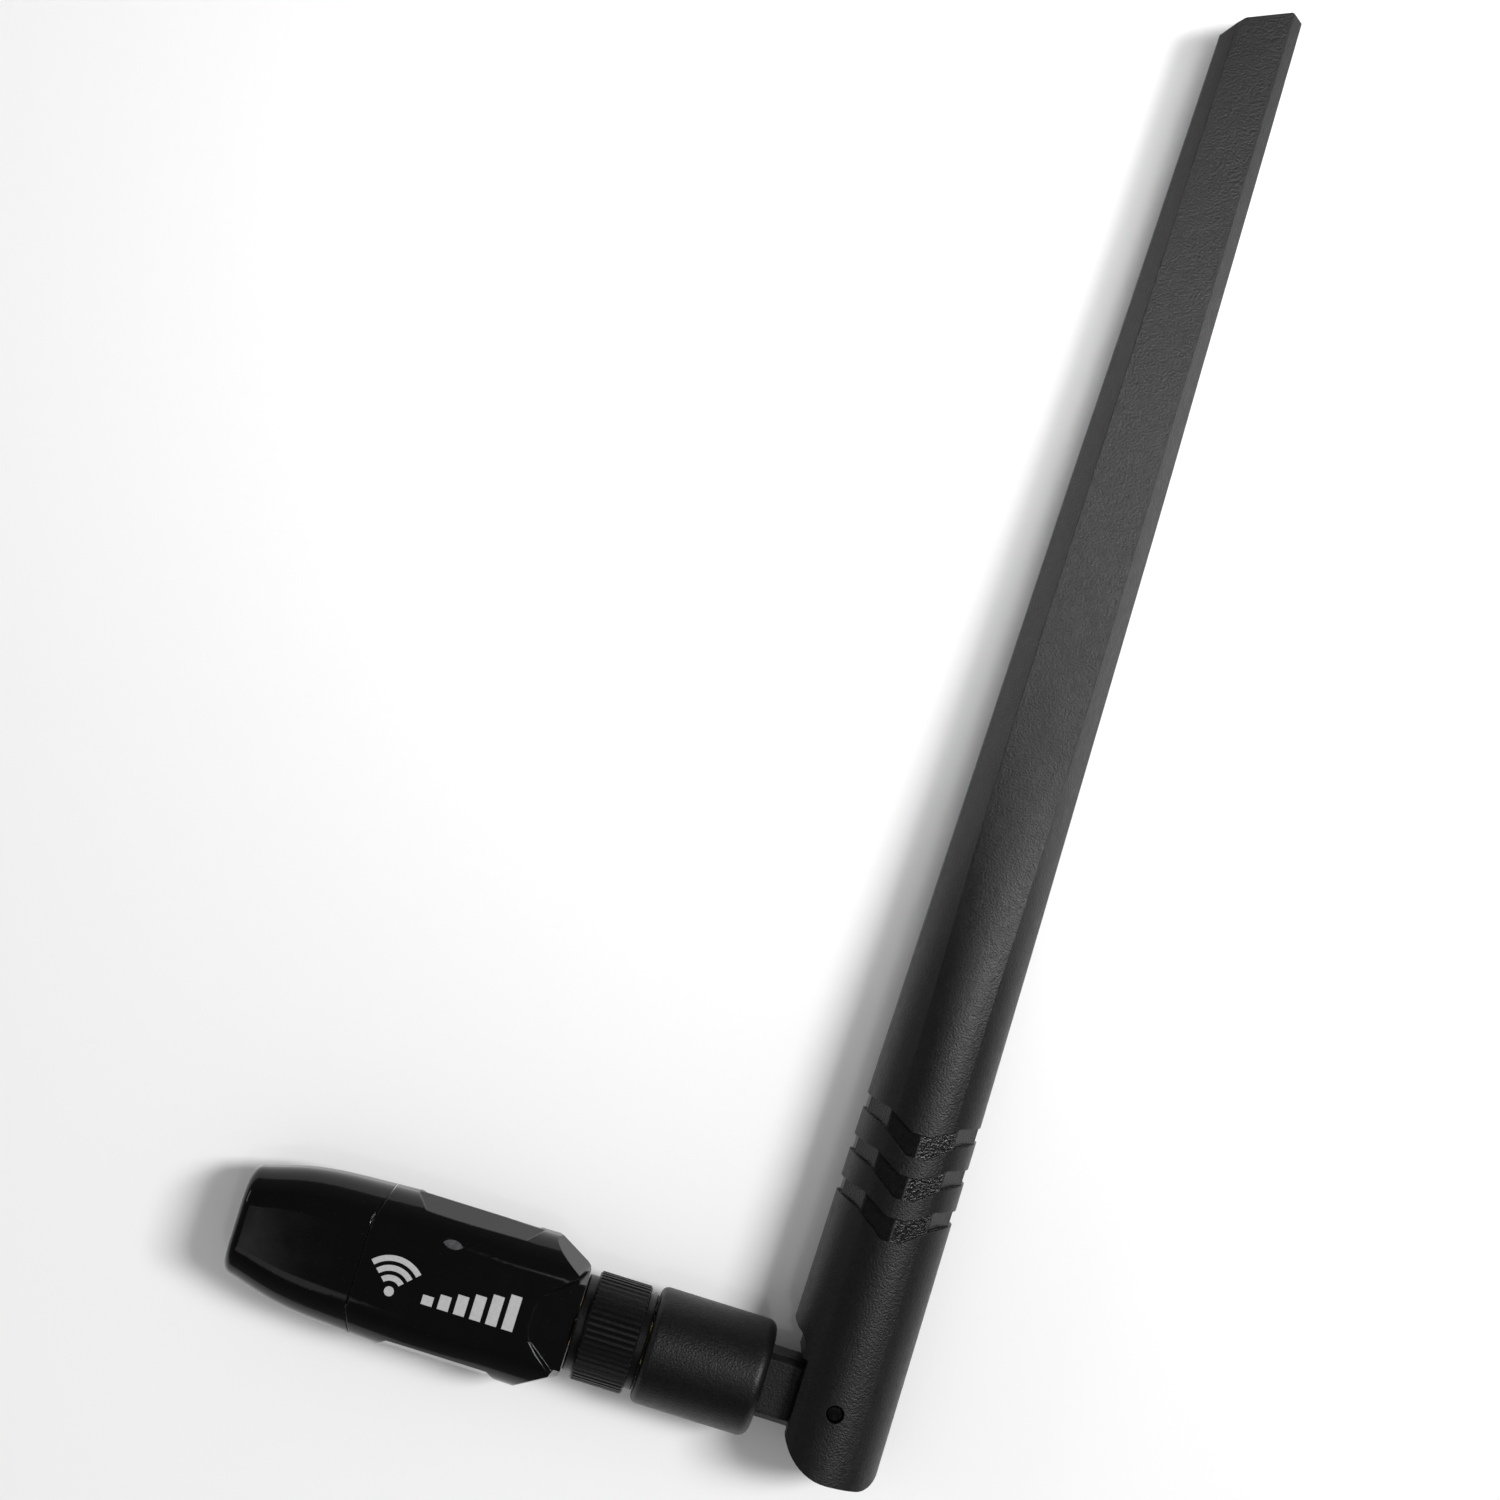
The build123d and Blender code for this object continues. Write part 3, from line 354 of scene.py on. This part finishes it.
def light_window():
    """Smoked window of the status light."""
    made, tree, shader = material("light_window", (0.045, 0.047, 0.05), 0.3)
    clouds = noise(tree, 1500)
    vary_color(tree, shader, clouds, (0.03, 0.031, 0.033), (0.07, 0.071, 0.074))
    return made


def metal(name, color, roughness):
    """Plain metal with a fine uneven grain."""
    made, tree, shader = material(name, color, roughness, metallic=1.0)
    grain = noise(tree, 1800, detail=3.0)
    vary_roughness(tree, shader, grain, roughness * 0.85, roughness * 1.2)
    vary_color(tree, shader, grain, tuple(c * 0.93 for c in color), color)
    bump(tree, shader, grain, strength=0.05, depth=0.004 * MM, edge_radius=0.06 * MM)
    return made


def moulded(name, color, roughness):
    """Moulded, printed or fired matter with a slight grain."""
    made, tree, shader = material(name, color, roughness)
    grain = noise(tree, 2600)
    vary_color(tree, shader, grain, tuple(c * 0.9 for c in color), color)
    vary_roughness(tree, shader, grain, roughness * 0.85, roughness * 1.15)
    bump(tree, shader, grain, strength=0.15, depth=0.02 * MM, edge_radius=0.06 * MM)
    return made


MATERIALS = {
    "gloss_black": gloss_black(),
    "satin_black": satin_black(),
    "nut_black": nut_black(),
    "pin_dark": pin_dark(),
    "light_window": light_window(),
    "plug_steel": metal("plug_steel", (0.62, 0.62, 0.63), 0.28),
    "tinned_shield": metal("tinned_shield", (0.7, 0.7, 0.69), 0.38),
    "spring_steel": metal("spring_steel", (0.5, 0.5, 0.51), 0.32),
    "gold_brass": metal("gold_brass", (0.66, 0.49, 0.22), 0.3),
    "gold_contact": metal("gold_contact", (0.85, 0.63, 0.24), 0.2),
    "copper_foil": metal("copper_foil", (0.75, 0.42, 0.26), 0.3),
    "white_plastic": moulded("white_plastic", (0.78, 0.78, 0.76), 0.45),
    "dielectric_white": moulded("dielectric_white", (0.85, 0.85, 0.83), 0.5),
    "board_green": moulded("board_green", (0.02, 0.13, 0.055), 0.35),
    "chip_black": moulded("chip_black", (0.025, 0.025, 0.025), 0.6),
    "ceramic_tan": moulded("ceramic_tan", (0.4, 0.31, 0.22), 0.5),
    "black_rubber": moulded("black_rubber", (0.02, 0.02, 0.02), 0.75),
    "bush_plastic": moulded("bush_plastic", (0.72, 0.71, 0.67), 0.4),
    "cable_jacket": moulded("cable_jacket", (0.2, 0.13, 0.08), 0.35),
    "print_grey": moulded("print_grey", (0.42, 0.42, 0.42), 0.55),
}


def dress_nodes():
    """Gives every CAD node the material of its slot."""
    for row in frame["record"]["subparts"]:
        node = nodes[row["node"]]
        node.data.materials.clear()
        node.data.materials.append(MATERIALS[row["material_slot"]])


# ---- printed mark: its outlines are in millimetres ---------------------------------------
ARC_CENTRE = (5.3, -2.1)
ARC_COUNT = 3
ARC_SPREAD = math.radians(46)  # to each side of straight up
ARC_FIRST_RADIUS = 1.3
ARC_PITCH = 1.2
ARC_WIDTH = 0.72
ARC_STEPS = 24
DOT_RADIUS = 0.62
DOT_POINTS = 24
BAR_COUNT = 6
BARS_LEFT = 9.4
BARS_FOOT = -2.4
BAR_PITCH = 2.05
BAR_WIDTH = 1.4
FIRST_BAR_TOP = -1.2
BAR_RISE = 0.64
INK_THICKNESS = 0.015 * MM
RAY_CLEARANCE = 10 * MM  # how far over the case the rays start


def arc_points(radius, start, end, steps):
    """Points along an arc about the mark's arc centre, in plan."""
    centre_x, centre_y = ARC_CENTRE
    points = []
    for index in range(steps + 1):
        angle = start + (end - start) * index / steps
        points.append((centre_x + radius * math.cos(angle), centre_y + radius * math.sin(angle)))
    return points


def mark_outlines():
    """Outlines of the mark: three arcs over a dot, then rising bars."""
    outlines = []
    up = math.pi / 2
    for ring in range(ARC_COUNT):
        inner = ARC_FIRST_RADIUS + ARC_PITCH * ring
        band = arc_points(inner + ARC_WIDTH, up - ARC_SPREAD, up + ARC_SPREAD, ARC_STEPS)
        band += arc_points(inner, up + ARC_SPREAD, up - ARC_SPREAD, ARC_STEPS)
        outlines.append(band)
    last_angle = 2 * math.pi * (DOT_POINTS - 1) / DOT_POINTS
    outlines.append(arc_points(DOT_RADIUS, 0, last_angle, DOT_POINTS - 1))
    for bar in range(BAR_COUNT):
        left = BARS_LEFT + BAR_PITCH * bar
        right = left + BAR_WIDTH
        top = FIRST_BAR_TOP + BAR_RISE * bar
        outlines.append([(left, BARS_FOOT), (right, BARS_FOOT), (right, top), (left, top)])
    return outlines


def printed_mark():
    """A plain signal mark printed on the stick's top, laid on the case."""
    tree = BVHTree.FromObject(nodes["top_shell"], bpy.context.evaluated_depsgraph_get())
    built = bmesh.new()
    for outline in mark_outlines():
        corners = []
        for x, y in outline:
            start = Vector((x * MM, y * MM, case_top_z + RAY_CLEARANCE))
            hit = tree.ray_cast(start, Vector((0, 0, -1)))[0]
            corners.append(built.verts.new((start.x, start.y, hit.z + INK_THICKNESS)))
        built.faces.new(corners)
    bmesh.ops.recalc_face_normals(built, faces=built.faces)
    bmesh.ops.triangulate(built, faces=built.faces)
    mesh = bpy.data.meshes.new("signal_mark")
    built.to_mesh(mesh)
    built.free()
    made = bpy.data.objects.new("signal_mark", mesh)
    scene.collection.objects.link(made)
    mesh.materials.append(MATERIALS["print_grey"])
    solid = made.modifiers.new("thickness", "SOLIDIFY")
    solid.thickness = INK_THICKNESS * 2
    solid.offset = 0
    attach(made, "stick")


dress_nodes()
aimed_lights()
room()
floor()
printed_mark()
